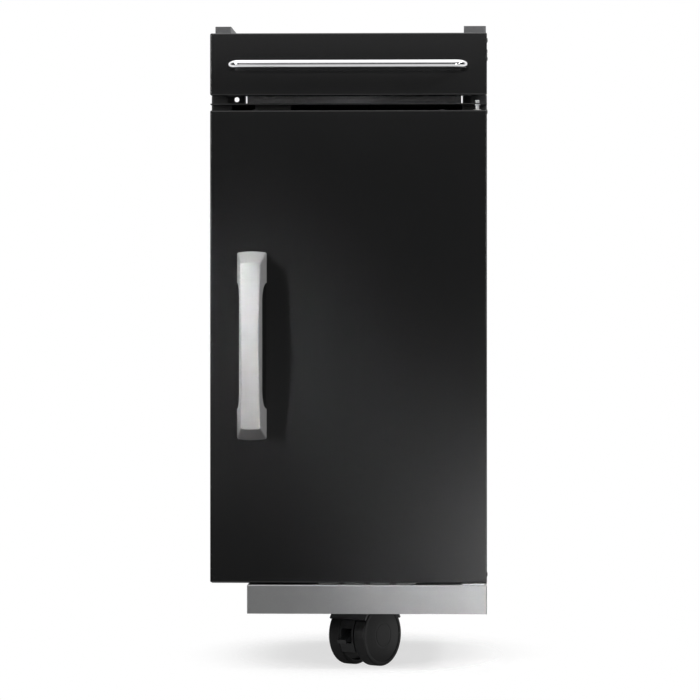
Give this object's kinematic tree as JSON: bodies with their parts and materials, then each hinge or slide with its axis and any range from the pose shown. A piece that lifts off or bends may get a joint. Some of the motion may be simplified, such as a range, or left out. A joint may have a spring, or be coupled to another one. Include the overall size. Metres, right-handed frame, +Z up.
{
  "type": "grill side cabinet",
  "caption": "Narrow grill side cabinet with a hinged door, a drawer with a rod pull, worktop brackets and an inset plinth that rolls on twin-wheel swivel casters.",
  "frame": {"origin": "on the floor, under the middle of the bounding box with the door and the drawer closed", "axes": "+X to the right seen from the front, +Y from the door to the back, +Z up"},
  "size_m": [0.3544, 0.5042, 0.827],
  "materials": {
    "black_enamel": "glossy black enamel on steel sheet",
    "silver_paint": "satin silver paint on steel sheet",
    "zinc_steel": "dull zinc plating",
    "satin_casting": "satin cast light alloy",
    "chrome_rod": "bright chrome plating",
    "black_plastic": "moulded, slightly glossy",
    "pale_nylon": "plain moulded nylon",
    "bumper_rubber": "moulded rubber"
  },
  "bodies": {
    "cabinet": {"left_side_panel": "black_enamel", "right_side_panel": "black_enamel", "floor_panel": "black_enamel", "back_panel": "black_enamel", "plinth": "silver_paint", "caster_bearer": "zinc_steel", "deck": "black_enamel", "bay_crossmember": "black_enamel", "front_top_rail": "black_enamel", "rear_top_rail": "black_enamel", "left_worktop_bracket": "zinc_steel", "right_worktop_bracket": "zinc_steel", "body_rivets": "black_enamel", "back_screws": "black_enamel", "plinth_screws": "zinc_steel", "upper_hinge_pin": "zinc_steel", "lower_hinge_plate": "zinc_steel", "lower_hinge_pin": "zinc_steel", "magnet_catch": "black_plastic", "catch_screws": "zinc_steel", "door_bumpers": "bumper_rubber", "slide_packers": "zinc_steel", "left_slide": "zinc_steel", "right_slide": "zinc_steel", "slide_glides": "pale_nylon", "slide_screws": "zinc_steel", "front_caster_plate": "zinc_steel", "rear_caster_plate": "zinc_steel", "front_kingpin": "zinc_steel", "rear_kingpin": "zinc_steel", "caster_bolts": "zinc_steel"},
    "door": {"door_panel": "black_enamel", "door_liner": "black_enamel", "door_handle": "satin_casting", "handle_screws": "zinc_steel", "upper_hinge_bush": "pale_nylon", "lower_hinge_bush": "pale_nylon", "strike_plate": "zinc_steel", "door_plugs": "black_plastic"},
    "drawer": {"drawer_front": "black_enamel", "drawer_front_liner": "black_enamel", "drawer_box": "zinc_steel", "drawer_screws": "zinc_steel", "drawer_pull": "chrome_rod", "pull_screws": "zinc_steel", "left_runner": "zinc_steel", "right_runner": "zinc_steel", "runner_rivets": "zinc_steel"},
    "front_swivel": {"front_caster_hood": "black_plastic", "front_caster_axle": "zinc_steel", "front_brake_pin": "zinc_steel"},
    "front_near_roller": {"front_near_wheel": "black_plastic"},
    "front_far_roller": {"front_far_wheel": "black_plastic"},
    "front_brake": {"front_brake_lever": "black_plastic"},
    "rear_swivel": {"rear_caster_hood": "black_plastic", "rear_caster_axle": "zinc_steel", "rear_brake_pin": "zinc_steel"},
    "rear_near_roller": {"rear_near_wheel": "black_plastic"},
    "rear_far_roller": {"rear_far_wheel": "black_plastic"},
    "rear_brake": {"rear_brake_lever": "black_plastic"}
  },
  "joints": [
    {"name": "door_hinge", "type": "hinge", "parent": "cabinet", "child": "door", "pos_m": [0.1635, -0.2001, 0.414], "axis": [0, 0, 1], "range_deg": [0, 120]},
    {"name": "drawer_slide", "type": "slide", "parent": "cabinet", "child": "drawer", "axis": [0, -1, 0], "range_m": [0, 0.28]},
    {"name": "front_swivel_turn", "type": "hinge", "parent": "cabinet", "child": "front_swivel", "pos_m": [0.0065, -0.1261, 0.09], "axis": [0, 0, 1], "continuous": true},
    {"name": "front_near_wheel_roll", "type": "hinge", "parent": "front_swivel", "child": "front_near_roller", "pos_m": [0.01826, -0.10992, 0.04], "axis": [0.809, -0.5878, 0], "continuous": true},
    {"name": "front_far_wheel_roll", "type": "hinge", "parent": "front_swivel", "child": "front_far_roller", "pos_m": [0.01826, -0.10992, 0.04], "axis": [0.809, -0.5878, 0], "continuous": true},
    {"name": "front_brake_tilt", "type": "hinge", "parent": "front_swivel", "child": "front_brake", "pos_m": [0.00415, -0.12934, 0.042], "axis": [-0.809, 0.5878, 0], "range_deg": [0, 25]},
    {"name": "rear_swivel_turn", "type": "hinge", "parent": "cabinet", "child": "rear_swivel", "pos_m": [0.0065, 0.1659, 0.09], "axis": [0, 0, 1], "continuous": true},
    {"name": "rear_near_wheel_roll", "type": "hinge", "parent": "rear_swivel", "child": "rear_near_roller", "pos_m": [0.0065, 0.1859, 0.04], "axis": [1, 0, 0], "continuous": true},
    {"name": "rear_far_wheel_roll", "type": "hinge", "parent": "rear_swivel", "child": "rear_far_roller", "pos_m": [0.0065, 0.1859, 0.04], "axis": [1, 0, 0], "continuous": true},
    {"name": "rear_brake_tilt", "type": "hinge", "parent": "rear_swivel", "child": "rear_brake", "pos_m": [0.0065, 0.1619, 0.042], "axis": [-1, 0, 0], "range_deg": [0, 25]}
  ]
}
